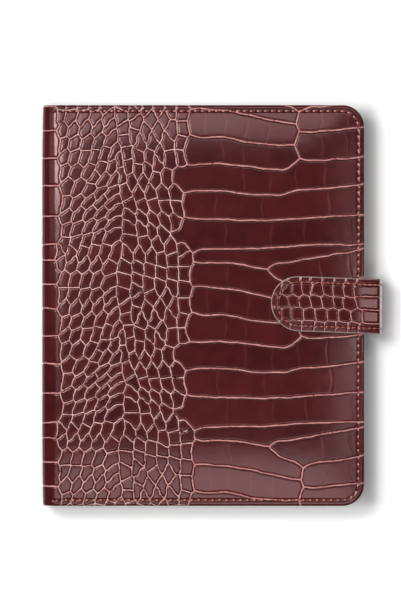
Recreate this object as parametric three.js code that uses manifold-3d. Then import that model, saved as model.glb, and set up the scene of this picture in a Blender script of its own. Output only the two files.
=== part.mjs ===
// A weekly planner: an A5 ring binder in crocodile-embossed leather, closed, lying on its back cover.
// Millimetres. +Z up, +Y towards the head of the pages, -X the spine, +X the fore-edge with its strap.
// The origin is the centre of the back cover's resting face, so the back cover spans x and y evenly.
// Parts of the book's section are drawn in x and z and run along y; sheets are drawn in x and y.
import * as THREE from "three";
import { mergeVertices } from "three/addons/utils/BufferGeometryUtils.js";
import Module from "manifold-3d";

const wasm = await Module();
wasm.setup();

// A5 leaves. The covers reach past them by these margins at the fore-edge and at head and foot.
const pageWidth = 148;
const pageHeight = 210;
const pageToForeEdge = 9.25;
const pageToHeadEdge = 10;
const holeToEdge = 6.5;
const holeRadius = 3;

const closedThickness = 41;
const foreCornerRadius = 12.5;
const hingeCornerRadius = 1.2;
const edgeRounding = 0.6;
// Each curve is drawn with twice this many straight pieces, and round pins and discs with so many sides.
const cornerSegments = 3;
const pinSides = 12;
const discSides = 20;

// Layers of a cover, from the outside in, with a line of glue between each two.
const leatherThickness = 1.0;
const foamThickness = 0.6;
const boardThickness = 1.2;
const liningThickness = 0.5;
const glueLine = 0.1;
const rimThickness = 1.0;
const liningInset = 0.6;

// The leather bends round these outer radii where the covers meet the spine.
const foldRadius = 6;
const foldGap = 0.05;

// Ring mechanism: six rings at the spacing of A5 planners.
const ringInnerDiameter = 25;
const ringWireDiameter = 2.5;
const ringPlaces = [-73, -54, -35, 35, 54, 73];
const ringEndAngle = 165;
const slotStartAngle = 115;
const slotSpareAngle = 3;
const slotSteps = 5;
const ringTipGap = 0.1;
const ringSides = 8;
const ringSteps = 12;
const slotClearance = 0.5;
const plateFromPageEnd = 3;
const plateHalfWidth = 9.5;
const plateThickness = 0.8;
const plateToRingCentre = 12;
const plateShoulder = 4;
// Places across the plate's arch, as shares of its half width.
const archPlaces = [-1, -0.92, -0.8, -0.62, -0.35, 0, 0.35, 0.62, 0.8, 0.92, 1];
const railEndGap = 3.5;
const railThickness = 0.9;
const railHalfGap = 0.25;
const railOuterEdge = 7;
const railToWire = 0.12;
const rivetFromEnd = 12;
const rivetShankRadius = 1.6;
const rivetHeadRadius = 3.4;
const rivetHeadHeight = 0.6;
const rivetHeadFlat = 1.4;
const rivetHeadEdge = 0.2;
const rivetFlangeRadius = 2.8;
const rivetFlangeThickness = 0.4;
const rivetClearance = 0.1;
const leverHalfWidth = 4.5;
const leverThickness = 0.9;
const leverUnderPlate = 0.6;
const leverTongue = 2;
const leverArm = 5;
const leverRise = 7;
const leverLean = 3;

// The leaves are in sections and dividers, listed from the top of the stack down.
const leafGap = 0.05;
const dividerThickness = 0.4;
const tabReach = 7.5;
const tabLength = 34;
const tabSpacing = 4;
const yearThickness = 2.2;
const monthsThickness = 2.6;
const halfYearOfWeeksThickness = 5.2;
const notesThickness = 3.2;
const contactsThickness = 1.6;
// A tab's place is counted in tabs from the middle of the fore-edge towards the head.
const stack = [
  { name: "divider_year", thickness: dividerThickness, tab: 1.5, colour: 0xb98f7d },
  { name: "year_pages", thickness: yearThickness, colour: 0xf3ecdd },
  { name: "divider_months", thickness: dividerThickness, tab: 0.5, colour: 0xcfb094 },
  { name: "month_pages", thickness: monthsThickness, colour: 0xf3ecdd },
  { name: "week_pages_first_half", thickness: halfYearOfWeeksThickness, colour: 0xf6f0e3 },
  { name: "week_pages_second_half", thickness: halfYearOfWeeksThickness, colour: 0xf6f0e3 },
  { name: "divider_notes", thickness: dividerThickness, tab: -0.5, colour: 0xa9b3a2 },
  { name: "notes_pages", thickness: notesThickness, colour: 0xf3ecdd },
  { name: "divider_contacts", thickness: dividerThickness, tab: -1.5, colour: 0x93a0ad },
  { name: "contact_pages", thickness: contactsThickness, colour: 0xf3ecdd },
];
// The fore-edge of the stack is curved, in steps of about this height.
const leafStep = 1.8;
const holeSteps = 30;
const leafRestGap = 0.3;

// Pockets sewn on the linings: a slip pocket in each cover and three stepped card pockets in front.
const slipPocketThickness = 0.8;
const slipPocketWidth = 104;
const pocketMargin = 5;
const pocketHingeRadius = 2;
const cardPocketThickness = 0.7;
const cardPocketMargin = 7.5;
const cardPocketWidth = 92;
const cardPocketHeight = 60;
const cardPocketStep = 13;
const cardPocketCount = 3;

// Closing strap: sewn into the back cover, up past the fore-edge and over the front cover.
const strapWidth = 32;
const strapShift = 1;
const strapProjection = 10.3;
const strapOnCover = 53.5;
const strapLeather = 1.1;
const strapLining = 0.7;
const strapRootDepth = 10;
const strapRootClearance = 0.3;
const strapLowerBend = 7;
const strapUpperBend = 3.5;
const strapLift = 0.3;
const magnetRadius = 6;
const magnetThickness = 0.9;
const magnetClearance = 0.1;
const magnetFromTip = 16;
const catchRadius = 7;

// Heights of a cover's layers above its outer face.
const foamFrom = leatherThickness + glueLine;
const boardFrom = foamFrom + foamThickness + glueLine;
const liningFrom = boardFrom + boardThickness + glueLine;
const coverThickness = liningFrom + liningThickness;
const rimHeight = liningFrom - glueLine;

const ringRadius = (ringInnerDiameter + ringWireDiameter) / 2;
const wireRadius = ringWireDiameter / 2;
const ringToSpine = closedThickness / 2;
const coverWidth = ringToSpine + ringRadius - holeToEdge + pageWidth + pageToForeEdge;
const coverHeight = pageHeight + 2 * pageToHeadEdge;
const plateLength = pageHeight - 2 * plateFromPageEnd;

const spineX = -coverWidth / 2;
const foreX = coverWidth / 2;
const foldX = spineX + foldRadius;
const halfHeight = coverHeight / 2;
const rivetPlace = plateLength / 2 - rivetFromEnd;
const railEnd = plateLength / 2 - railEndGap;

// The rings sit at mid height, as far from the spine's outer face as from the covers', so that
// the leaves lie at the same height on either cover when the planner is open flat.
const ringZ = closedThickness / 2;
const ringX = spineX + ringToSpine;

const strapThickness = strapLeather + glueLine + strapLining;
const strapReach = foreX + strapProjection;
const strapTip = foreX - strapOnCover;
const strapRootZ = leatherThickness + glueLine;
const strapTopZ = closedThickness + strapLift + strapThickness;

const leather = { color: 0x50191c, roughness: 0.42, metalness: 0 };
const lining = { color: 0x3f1416, roughness: 0.8, metalness: 0 };
const pocket = { color: 0x461618, roughness: 0.6, metalness: 0 };
const foam = { color: 0xd9d2c4, roughness: 0.95, metalness: 0 };
const board = { color: 0x8d8478, roughness: 0.9, metalness: 0 };
const nickel = { color: 0xc9c9cb, roughness: 0.2, metalness: 1 };
const steel = { color: 0x8f9194, roughness: 0.35, metalness: 1 };

function node(name, geometry, look) {
  const mesh = new THREE.Mesh(geometry, new THREE.MeshStandardMaterial(look));
  mesh.name = name;
  return mesh;
}

function solid(geometry) {
  const bare = geometry.clone();
  bare.deleteAttribute("normal");
  bare.deleteAttribute("uv");
  const merged = mergeVertices(bare);
  return new wasm.Manifold(
    new wasm.Mesh({
      numProp: 3,
      vertProperties: merged.attributes.position.array,
      triVerts: new Uint32Array(merged.index.array),
    }),
  );
}

function geometryOf(body) {
  const mesh = body.getMesh();
  const geometry = new THREE.BufferGeometry();
  geometry.setAttribute("position", new THREE.BufferAttribute(mesh.vertProperties, 3));
  geometry.setIndex(new THREE.BufferAttribute(mesh.triVerts, 1));
  geometry.computeVertexNormals();
  return geometry;
}

function cut(geometry, tools) {
  return geometryOf(tools.reduce((body, tool) => body.subtract(solid(tool)), solid(geometry)));
}

function join(geometry, more) {
  return geometryOf(more.reduce((body, next) => body.add(solid(next)), solid(geometry)));
}

// A sheet's outline, with one radius at its two corners towards the hinge and one at the fore-edge.
function sheetShape(x0, x1, y0, y1, hingeRadius, foreRadius) {
  const shape = new THREE.Shape();
  shape.absarc(x1 - foreRadius, y1 - foreRadius, foreRadius, 0, Math.PI / 2);
  shape.absarc(x0 + hingeRadius, y1 - hingeRadius, hingeRadius, Math.PI / 2, Math.PI);
  shape.absarc(x0 + hingeRadius, y0 + hingeRadius, hingeRadius, Math.PI, 1.5 * Math.PI);
  shape.absarc(x1 - foreRadius, y0 + foreRadius, foreRadius, 1.5 * Math.PI, 2 * Math.PI);
  return shape;
}

function sheet(shape, z0, z1, rounding = 0) {
  const geometry = new THREE.ExtrudeGeometry(shape, {
    depth: z1 - z0 - 2 * rounding,
    curveSegments: cornerSegments,
    bevelEnabled: rounding > 0,
    bevelThickness: rounding,
    bevelSize: rounding,
    bevelOffset: -rounding,
    bevelSegments: 2,
  });
  return geometry.translate(0, 0, z0 + rounding);
}

// A section drawn in x and z, run along y.
function prism(section, y0, y1) {
  const geometry = new THREE.ExtrudeGeometry(section, {
    depth: y1 - y0,
    bevelEnabled: false,
    curveSegments: cornerSegments,
  });
  return geometry.rotateX(Math.PI / 2).translate(0, y1, 0);
}

function box(x0, x1, y0, y1, z0, z1) {
  const geometry = new THREE.BoxGeometry(x1 - x0, y1 - y0, z1 - z0);
  return geometry.translate((x0 + x1) / 2, (y0 + y1) / 2, (z0 + z1) / 2);
}

function polygon(points) {
  return new THREE.Shape(points.map(([x, y]) => new THREE.Vector2(x, y)));
}

// A cylinder that runs along x from one place to another, or along z.
function pinAlongX(radius, x0, x1, y, z) {
  const geometry = new THREE.CylinderGeometry(radius, radius, x1 - x0, pinSides);
  return geometry.rotateZ(-Math.PI / 2).translate((x0 + x1) / 2, y, z);
}

function discAlongZ(radius, z0, z1, x, y) {
  const geometry = new THREE.CylinderGeometry(radius, radius, z1 - z0, discSides);
  return geometry.rotateX(Math.PI / 2).translate(x, y, (z0 + z1) / 2);
}

// The back cover's layers rise from its outer face; the front cover's hang from its own.
const backCover = (from, to) => [from, to];
const frontCover = (from, to) => [closedThickness - to, closedThickness - from];

// The cover leather is a shallow tray: its edges are turned up round the boards on three sides.
function coverLeather(side, tools = []) {
  const [low, high] = side(0, rimHeight);
  const overlap = 2 * foldRadius;
  const whole = sheetShape(
    foldX - overlap, foreX, -halfHeight, halfHeight, hingeCornerRadius, foreCornerRadius,
  );
  const inner = sheetShape(
    foldX - overlap, foreX - rimThickness, -halfHeight + rimThickness, halfHeight - rimThickness,
    hingeCornerRadius, foreCornerRadius - rimThickness,
  );
  const [hollowLow, hollowHigh] = side(leatherThickness, rimHeight + 1);
  return cut(sheet(whole, low, high, edgeRounding), [
    sheet(inner, hollowLow, hollowHigh),
    box(foldX - 2 * overlap, foldX + foldGap, -coverHeight, coverHeight, low - 1, high + 1),
    ...tools,
  ]);
}

// A layer inside the tray, or the lining over it, drawn in from the cover's outline.
function coverLayer(side, from, thickness, inset, tools = []) {
  const [low, high] = side(from, from + thickness);
  const shape = sheetShape(
    foldX + foldGap, foreX - inset, -halfHeight + inset, halfHeight - inset,
    hingeCornerRadius, foreCornerRadius - inset,
  );
  return cut(sheet(shape, low, high), tools);
}

const layerInset = rimThickness + glueLine;
const magnetX = strapTip + magnetFromTip;

const strapNotch = box(
  foreX - strapRootDepth - strapRootClearance, foreX + strapRootClearance,
  strapShift - strapWidth / 2 - strapRootClearance, strapShift + strapWidth / 2 + strapRootClearance,
  leatherThickness, liningFrom - glueLine / 2,
);

const catchHole = discAlongZ(
  catchRadius + magnetClearance, closedThickness - liningFrom, closedThickness - foamFrom,
  magnetX, strapShift,
);

// Leather or lining round a quarter turn between a cover and the spine, at the bottom or the top.
function foldSection(outerRadius, thickness, atTop) {
  const centreX = foldX;
  const centreZ = atTop ? closedThickness - foldRadius : foldRadius;
  const spread = foldGap / outerRadius;
  const from = atTop ? Math.PI / 2 : Math.PI;
  const section = new THREE.Shape();
  const innerRadius = outerRadius - thickness;
  section.absarc(centreX, centreZ, outerRadius, from + spread, from + Math.PI / 2 - spread);
  section.absarc(centreX, centreZ, innerRadius, from + Math.PI / 2 - spread, from + spread, true);
  return section;
}

function foldStrip(outerRadius, thickness, atTop, inset) {
  const section = foldSection(outerRadius, thickness, atTop);
  return prism(section, -halfHeight + inset, halfHeight - inset);
}

// A layer of the spine, as a slab between the two folds.
function spineLayer(from, thickness, inset, tools = []) {
  const slab = box(
    spineX + from, spineX + from + thickness, -halfHeight + inset, halfHeight - inset,
    foldRadius + foldGap, closedThickness - foldRadius - foldGap,
  );
  return cut(slab, tools);
}

const spineBoardFrom = leatherThickness + glueLine;
const spineBoardThickness = coverThickness - liningThickness - glueLine - spineBoardFrom;
const spineInnerX = spineX + coverThickness;
const plateFaceX = ringX - plateToRingCentre;
const plateRise = plateFaceX - spineInnerX - glueLine;

// The plate's section is an arch that is nearly flat across the rails and drops to its two edges.
function archPoints(rise, halfWidth) {
  return archPlaces.map((place) => [
    spineInnerX + glueLine + rise * (1 - Math.abs(place) ** plateShoulder),
    ringZ + place * halfWidth,
  ]);
}

class RingArc extends THREE.Curve {
  constructor(radius, from, to) {
    super();
    Object.assign(this, { radius, from, to });
  }

  getPoint(t, target = new THREE.Vector3()) {
    const angle = this.from + (this.to - this.from) * t;
    return target.set(Math.cos(angle) * this.radius, 0, Math.sin(angle) * this.radius);
  }
}

// A round wire bent to part of a ring, with its angles in degrees from +X towards +Z.
function ringWire(radius, fromDegrees, toDegrees, place, steps) {
  const circle = new THREE.Shape().absarc(0, 0, radius, 0, 2 * Math.PI);
  const from = THREE.MathUtils.degToRad(fromDegrees);
  const to = THREE.MathUtils.degToRad(toDegrees);
  const geometry = new THREE.ExtrudeGeometry(circle, {
    steps,
    curveSegments: ringSides / 2,
    extrudePath: new RingArc(ringRadius, from, to),
  });
  return geometry.translate(ringX, place, ringZ);
}

const tipAngle = THREE.MathUtils.radToDeg(ringTipGap / 2 / ringRadius);
const wireDepth = ringRadius * Math.cos(THREE.MathUtils.degToRad(180 - ringEndAngle)) + wireRadius;
const railTopX = ringX - wireDepth - railToWire;

function rivetHoles(x0, x1, radius) {
  return [-rivetPlace, rivetPlace].map((y) => pinAlongX(radius, x0, x1, y, ringZ));
}

function plate() {
  const outer = archPoints(plateRise, plateHalfWidth);
  const inner = archPoints(plateRise - plateThickness, plateHalfWidth - plateThickness);
  const section = polygon([...outer, ...inner.reverse()]);
  const slotRadius = wireRadius + slotClearance;
  const slotEndAngle = ringEndAngle + slotSpareAngle;
  const slots = ringPlaces.flatMap((place) => [
    ringWire(slotRadius, slotStartAngle, slotEndAngle, place, slotSteps),
    ringWire(slotRadius, -slotEndAngle, -slotStartAngle, place, slotSteps),
  ]);
  const holes = rivetHoles(spineInnerX, ringX, rivetShankRadius + rivetClearance);
  return cut(prism(section, -plateLength / 2, plateLength / 2), [...slots, ...holes]);
}

function rail(direction) {
  const near = ringZ + direction * railHalfGap;
  const far = ringZ + direction * railOuterEdge;
  const strip = box(
    railTopX - railThickness, railTopX, -railEnd, railEnd,
    Math.min(near, far), Math.max(near, far),
  );
  return cut(strip, rivetHoles(spineInnerX, ringX, rivetFlangeRadius));
}

function rivet(y) {
  const boardX = spineX + spineBoardFrom;
  const headX = plateFaceX + rivetClearance;
  const profile = [
    [0, boardX],
    [rivetFlangeRadius, boardX],
    [rivetFlangeRadius, boardX + rivetFlangeThickness],
    [rivetShankRadius, boardX + rivetFlangeThickness],
    [rivetShankRadius, headX],
    [rivetHeadRadius, headX],
    [rivetHeadRadius, headX + rivetHeadEdge],
    [rivetHeadFlat, headX + rivetHeadHeight],
    [0, headX + rivetHeadHeight],
  ];
  const points = profile.map(([radius, along]) => new THREE.Vector2(radius, along));
  const geometry = new THREE.LatheGeometry(points, pinSides);
  return geometry.rotateZ(-Math.PI / 2).translate(0, y, ringZ);
}

// The opening lever at one end of the plate: a tongue under the plate, an arm and a raised thumb tab.
function lever(direction) {
  const top = plateFaceX - plateThickness - leverUnderPlate;
  const low = top - leverThickness;
  const end = plateLength / 2;
  const from = end - leverTongue;
  const bendY = end + leverArm;
  const tipY = bendY + leverLean;
  const tipX = top + leverRise;
  const outline = [
    [low, from],
    [low, bendY],
    [low + leverThickness, bendY + leverThickness],
    [tipX, tipY + leverThickness],
    [tipX, tipY],
    [top + leverThickness, bendY],
    [top, bendY - leverThickness],
    [top, from],
  ];
  const shape = polygon(outline.map(([x, y]) => [x, direction * y]));
  return sheet(shape, ringZ - leverHalfWidth, ringZ + leverHalfWidth);
}

const recess = rivetHoles(
  spineX + spineBoardFrom - glueLine, spineX + spineBoardFrom + rivetFlangeThickness + rivetClearance,
  rivetFlangeRadius + rivetClearance,
);
const shankHoles = rivetHoles(spineX + spineBoardFrom, ringX, rivetShankRadius + rivetClearance);

// Each leaf slides on the rings, so the stack's two edges follow the rings' curve.
const stackThickness =
  stack.reduce((sum, leaf) => sum + leaf.thickness, 0) + (stack.length - 1) * leafGap;
const stackHalf = stackThickness / 2;
const foreReach = Math.sqrt(ringRadius ** 2 - stackHalf ** 2) - holeToEdge + pageWidth;
const restHeight = coverThickness + glueLine + slipPocketThickness + leafRestGap;
const pageTilt = Math.asin((ringZ - stackHalf - restHeight) / foreReach);

function ringBulge(height) {
  return Math.sqrt(ringRadius ** 2 - height ** 2);
}

function leafSection(low, high, left, right) {
  const steps = Math.max(1, Math.ceil((high - low) / leafStep));
  const heights = Array.from({ length: steps + 1 }, (_, i) => low + ((high - low) * i) / steps);
  const rightEdge = heights.map((height) => [ringBulge(height) + right, height]);
  const leftEdge = heights.map((height) => [ringBulge(height) + left, height]).reverse();
  return polygon([...rightEdge, ...leftEdge]);
}

function leaf({ thickness, tab }, low) {
  const right = pageWidth - holeToEdge;
  const body = prism(
    leafSection(low, low + thickness, -holeToEdge, right), -pageHeight / 2, pageHeight / 2,
  );
  const middle = (tab ?? 0) * (tabLength + tabSpacing);
  const tabs =
    tab === undefined
      ? []
      : [
          prism(
            leafSection(low, low + thickness, right - tabReach, right + tabReach),
            middle - tabLength / 2, middle + tabLength / 2,
          ),
        ];
  const tunnelRadius = holeRadius / Math.cos(Math.PI / ringSides);
  const tunnels = ringPlaces.map((place) =>
    new THREE.TorusGeometry(ringRadius, tunnelRadius, ringSides, holeSteps)
      .rotateX(Math.PI / 2)
      .translate(0, place, 0),
  );
  return cut(join(body, tabs), tunnels);
}

// Pocket panels lie on a lining, with their stack height above it.
function pocketPanel(side, above, thickness, x0, x1, y0, y1, cornerInset) {
  const from = coverThickness + glueLine + above;
  const [low, high] = side(from, from + thickness);
  const shape = sheetShape(x0, x1, y0, y1, pocketHingeRadius, foreCornerRadius - cornerInset);
  return sheet(shape, low, high);
}

function slipPocket(side) {
  return pocketPanel(
    side, 0, slipPocketThickness, foreX - pocketMargin - slipPocketWidth, foreX - pocketMargin,
    -halfHeight + pocketMargin, halfHeight - pocketMargin, pocketMargin,
  );
}

function cardPocket(index) {
  const layer = cardPocketCount - 1 - index;
  const bottom = -halfHeight + cardPocketMargin;
  return pocketPanel(
    frontCover, slipPocketThickness + glueLine + layer * (cardPocketThickness + glueLine),
    cardPocketThickness, foreX - cardPocketMargin - cardPocketWidth, foreX - cardPocketMargin,
    bottom, bottom + cardPocketHeight + index * cardPocketStep, cardPocketMargin,
  );
}

const strapY0 = strapShift - strapWidth / 2;
const strapY1 = strapShift + strapWidth / 2;

// One layer of the strap's wall with its two bends, at a depth below the strap's outer face.
function strapWall(depth, thickness) {
  const outerLow = strapLowerBend - depth;
  const innerLow = outerLow - thickness;
  const outerTop = strapUpperBend - depth;
  const innerTop = outerTop - thickness;
  const lowX = strapReach - strapLowerBend;
  const lowZ = strapRootZ + strapLowerBend;
  const topX = strapReach - strapUpperBend;
  const topZ = strapTopZ - strapUpperBend;
  const rootX = foreX + strapRootClearance + foldGap;
  const section = new THREE.Shape();
  section.moveTo(rootX, strapRootZ + depth);
  section.absarc(lowX, lowZ, outerLow, 1.5 * Math.PI, 2 * Math.PI);
  section.absarc(topX, topZ, outerTop, 0, Math.PI / 2);
  section.absarc(topX, topZ, innerTop, Math.PI / 2, 0, true);
  section.absarc(lowX, lowZ, innerLow, 2 * Math.PI, 1.5 * Math.PI, true);
  section.lineTo(rootX, strapRootZ + depth + thickness);
  return prism(section, strapY0, strapY1);
}

// One layer of the strap's flap over the front cover, with its round tip.
function strapFlap(depth, thickness, tools) {
  const radius = strapWidth / 2;
  const shape = new THREE.Shape();
  shape.absarc(strapTip + radius, strapShift, radius, Math.PI / 2, 1.5 * Math.PI);
  shape.lineTo(strapReach - strapUpperBend - foldGap, strapY0);
  shape.lineTo(strapReach - strapUpperBend - foldGap, strapY1);
  const top = strapTopZ - depth;
  return cut(sheet(shape, top - thickness, top), tools);
}

const magnetMiddle = strapTopZ - strapLeather - glueLine / 2;
const magnetRecess = discAlongZ(
  magnetRadius + magnetClearance,
  magnetMiddle - magnetThickness / 2 - glueLine / 2, magnetMiddle + magnetThickness / 2 + glueLine / 2,
  magnetX, strapShift,
);

function backCoverBody() {
  const body = new THREE.Group();
  body.add(
    node("back_leather", coverLeather(backCover, [strapNotch]), leather),
    node("back_foam", coverLayer(backCover, foamFrom, foamThickness, layerInset, [strapNotch]), foam),
    node("back_board", coverLayer(backCover, boardFrom, boardThickness, layerInset, [strapNotch]), board),
    node("back_lining", coverLayer(backCover, liningFrom, liningThickness, liningInset), lining),
    node("back_slip_pocket", slipPocket(backCover), pocket),
    node("back_hinge_leather", foldStrip(foldRadius, leatherThickness, false, 0), leather),
    node(
      "back_hinge_lining",
      foldStrip(foldRadius - foamFrom, liningThickness, false, liningInset),
      lining,
    ),
    node(
      "strap_root",
      box(
        foreX - strapRootDepth, foreX + strapRootClearance, strapY0, strapY1,
        strapRootZ, strapRootZ + strapThickness,
      ),
      leather,
    ),
  );
  return body;
}

function spineBody() {
  const body = new THREE.Group();
  body.add(
    node("spine_leather", spineLayer(0, leatherThickness, 0), leather),
    node(
      "spine_board",
      spineLayer(spineBoardFrom, spineBoardThickness, layerInset, [...recess, ...shankHoles]),
      board,
    ),
    node(
      "spine_lining",
      spineLayer(coverThickness - liningThickness, liningThickness, liningInset, shankHoles),
      lining,
    ),
    node("ring_plate", plate(), nickel),
    node("rivet_head_end", rivet(rivetPlace), nickel),
    node("rivet_foot_end", rivet(-rivetPlace), nickel),
  );
  return body;
}

function ringBody(label, direction) {
  const body = new THREE.Group();
  body.add(node(`rail_${label}`, rail(direction), steel));
  ringPlaces.forEach((place, i) => {
    const from = direction > 0 ? tipAngle : -ringEndAngle;
    const to = direction > 0 ? ringEndAngle : -tipAngle;
    const wire = ringWire(wireRadius, from, to, place, ringSteps);
    body.add(node(`ring_${i + 1}_${label}`, wire, nickel));
  });
  return body;
}

function frontCoverBody() {
  const body = new THREE.Group();
  body.add(
    node("front_leather", coverLeather(frontCover), leather),
    node("front_foam", coverLayer(frontCover, foamFrom, foamThickness, layerInset, [catchHole]), foam),
    node("front_board", coverLayer(frontCover, boardFrom, boardThickness, layerInset, [catchHole]), board),
    node("front_lining", coverLayer(frontCover, liningFrom, liningThickness, liningInset), lining),
    node(
      "catch_plate",
      discAlongZ(
        catchRadius, closedThickness - liningFrom + glueLine, closedThickness - foamFrom,
        magnetX, strapShift,
      ),
      steel,
    ),
    node("front_slip_pocket", slipPocket(frontCover), pocket),
    ...Array.from({ length: cardPocketCount }, (_, i) =>
      node(`card_pocket_${i + 1}`, cardPocket(i), pocket),
    ),
    node("front_hinge_leather", foldStrip(foldRadius, leatherThickness, true, 0), leather),
    node(
      "front_hinge_lining",
      foldStrip(foldRadius - foamFrom, liningThickness, true, liningInset),
      lining,
    ),
  );
  return body;
}

// The leaves lie tilted about the rings, with the fore-edge of the lowest one on the back pocket.
function leafBody() {
  const body = new THREE.Group();
  let top = stackHalf;
  for (const item of stack) {
    const low = top - item.thickness;
    const look = { color: item.colour, roughness: 0.9, metalness: 0 };
    body.add(node(item.name, leaf(item, low), look));
    top = low - leafGap;
  }
  body.position.set(ringX, 0, ringZ);
  body.rotation.y = pageTilt;
  return body;
}

function strapBody() {
  const body = new THREE.Group();
  const under = strapLeather + glueLine;
  body.add(
    node("strap_wall_leather", strapWall(0, strapLeather), leather),
    node("strap_wall_lining", strapWall(under, strapLining), lining),
    node("strap_flap_leather", strapFlap(0, strapLeather, [magnetRecess]), leather),
    node("strap_flap_lining", strapFlap(under, strapLining, [magnetRecess]), lining),
    node(
      "strap_magnet",
      discAlongZ(
        magnetRadius, magnetMiddle - magnetThickness / 2, magnetMiddle + magnetThickness / 2,
        magnetX, strapShift,
      ),
      steel,
    ),
  );
  return body;
}

const planner = new THREE.Group();
planner.add(
  backCoverBody(),
  spineBody(),
  ringBody("upper", 1),
  ringBody("lower", -1),
  node("lever_head_end", lever(1), nickel),
  node("lever_foot_end", lever(-1), nickel),
  frontCoverBody(),
  leafBody(),
  strapBody(),
);

export default planner;
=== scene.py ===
"""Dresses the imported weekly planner: embossed leather covers, strap, stitching, rings, leaves and pockets."""
import math
from functools import cache

import bpy
import numpy as np
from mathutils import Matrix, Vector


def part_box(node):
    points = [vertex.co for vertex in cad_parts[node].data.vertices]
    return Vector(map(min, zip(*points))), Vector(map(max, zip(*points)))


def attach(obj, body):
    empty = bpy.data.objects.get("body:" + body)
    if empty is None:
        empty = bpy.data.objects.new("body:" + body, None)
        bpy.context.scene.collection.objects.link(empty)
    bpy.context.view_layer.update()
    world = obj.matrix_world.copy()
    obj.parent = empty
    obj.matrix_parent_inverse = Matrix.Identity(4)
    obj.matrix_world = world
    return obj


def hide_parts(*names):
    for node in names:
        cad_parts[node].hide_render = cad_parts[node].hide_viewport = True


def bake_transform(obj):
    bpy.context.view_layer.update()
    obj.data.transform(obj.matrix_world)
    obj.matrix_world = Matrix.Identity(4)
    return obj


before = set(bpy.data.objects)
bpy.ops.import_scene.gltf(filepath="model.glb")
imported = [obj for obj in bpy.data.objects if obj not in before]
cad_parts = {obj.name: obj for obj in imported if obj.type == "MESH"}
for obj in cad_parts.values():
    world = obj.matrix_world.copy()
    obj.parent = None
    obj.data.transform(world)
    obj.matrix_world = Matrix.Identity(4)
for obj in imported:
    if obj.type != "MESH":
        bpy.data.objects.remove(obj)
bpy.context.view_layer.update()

MM = 0.001
QUARTER = math.pi / 2

# The closed planner in millimetres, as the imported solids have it.
FORE_X, FOLD_X, HALF_HEIGHT, THICK = 92.5, -86.5, 115.0, 41.0
CORNER, RIM_DEPTH, EDGE_RADIUS = 12.5, 3.0, 1.3
CORNER_X, CORNER_Y = FORE_X - CORNER, HALF_HEIGHT - CORNER
# The leather bends over to the spine from here, ever more sharply, until it stands upright.
BEND_START, BEND_TURN = -76.5, np.linspace(0, 1, 400)
BEND_RISE = np.cumsum(np.sin(QUARTER * BEND_TURN ** 3))
BEND_REACH = np.cumsum(np.cos(QUARTER * BEND_TURN ** 3))
BEND_LENGTH = (BEND_START + FORE_X) / BEND_REACH[-1] * len(BEND_TURN)
BEND_RISE *= BEND_LENGTH / len(BEND_TURN)
BEND_REACH *= BEND_LENGTH / len(BEND_TURN)
MID_SPINE = BEND_START - BEND_LENGTH - (THICK / 2 - BEND_RISE[-1])
RING_X, RING_Z, RING_RADIUS, WIRE = -72.0, 20.5, 13.75, 1.25
RING_PLACES = (-73, -54, -35, 35, 54, 73)

# The photograph's scale: its pixels in millimetres, and the pixel over the covers' middle.
PHOTO_MM = 0.5745
PHOTO_CENTRE = (203.0, 305.5)

# One repeat of the embossing's long scales, in pixels: stations of x, upper crease and lower crease.
REPEAT, REPEAT_SHIFT = 177.5, 2.0
REPEATS = (-1, 0, 1, 2)
LONG_SCALES = (
    ((192, 109, 136), (205, 109, 137.5), (225, 111, 136.5), (247, 114, 142), (270, 120, 145), (290, 123, 146)),
    ((183, 139, 164), (200, 137.7, 164.5), (217, 137, 163.5), (247, 143, 166.5), (284, 146, 170.5), (291, 148, 168)),
    ((303, 138, 158), (320, 131.5, 160), (344, 129.5, 159), (368, 126.5, 155.7)),
    ((303, 107, 132), (320, 107, 131), (344, 103, 129), (368, 98, 127)),
    ((176, 171, 183), (190, 166, 190), (217, 163.5, 191), (257, 168, 195), (284, 170.5, 195), (296, 165, 190),
     (326, 160, 189), (345, 159, 187), (368, 155.5, 183)),
    ((187, 195, 216), (200, 191, 219), (225, 191, 220), (257, 195, 220.5), (283, 195, 220), (297, 190, 219),
     (330, 189, 216.5), (368, 183, 214.5)),
    ((178, 231, 241), (190, 221, 246), (200, 219.5, 249), (257, 220.5, 249), (297, 219, 245.5), (330, 216.5, 245),
     (368, 214.5, 244)),
    ((199, 250, 262), (235, 249, 263), (250, 249, 266), (262, 248.5, 267), (272, 247.5, 262), (285, 246.5, 262),
     (300, 245.5, 259), (320, 244.5, 256), (343, 245, 253), (368, 244.5, 247.5)),
    ((193, 267, 282), (210, 263, 287.5), (240, 264, 290), (258, 269, 295), (272, 276, 298), (285, 283, 300),
     (294, 284, 301)),
    ((271, 268, 272), (281, 264, 281), (300, 262, 284), (320, 257, 284.5), (343, 254, 282), (368, 248.5, 276)),
)
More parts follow.
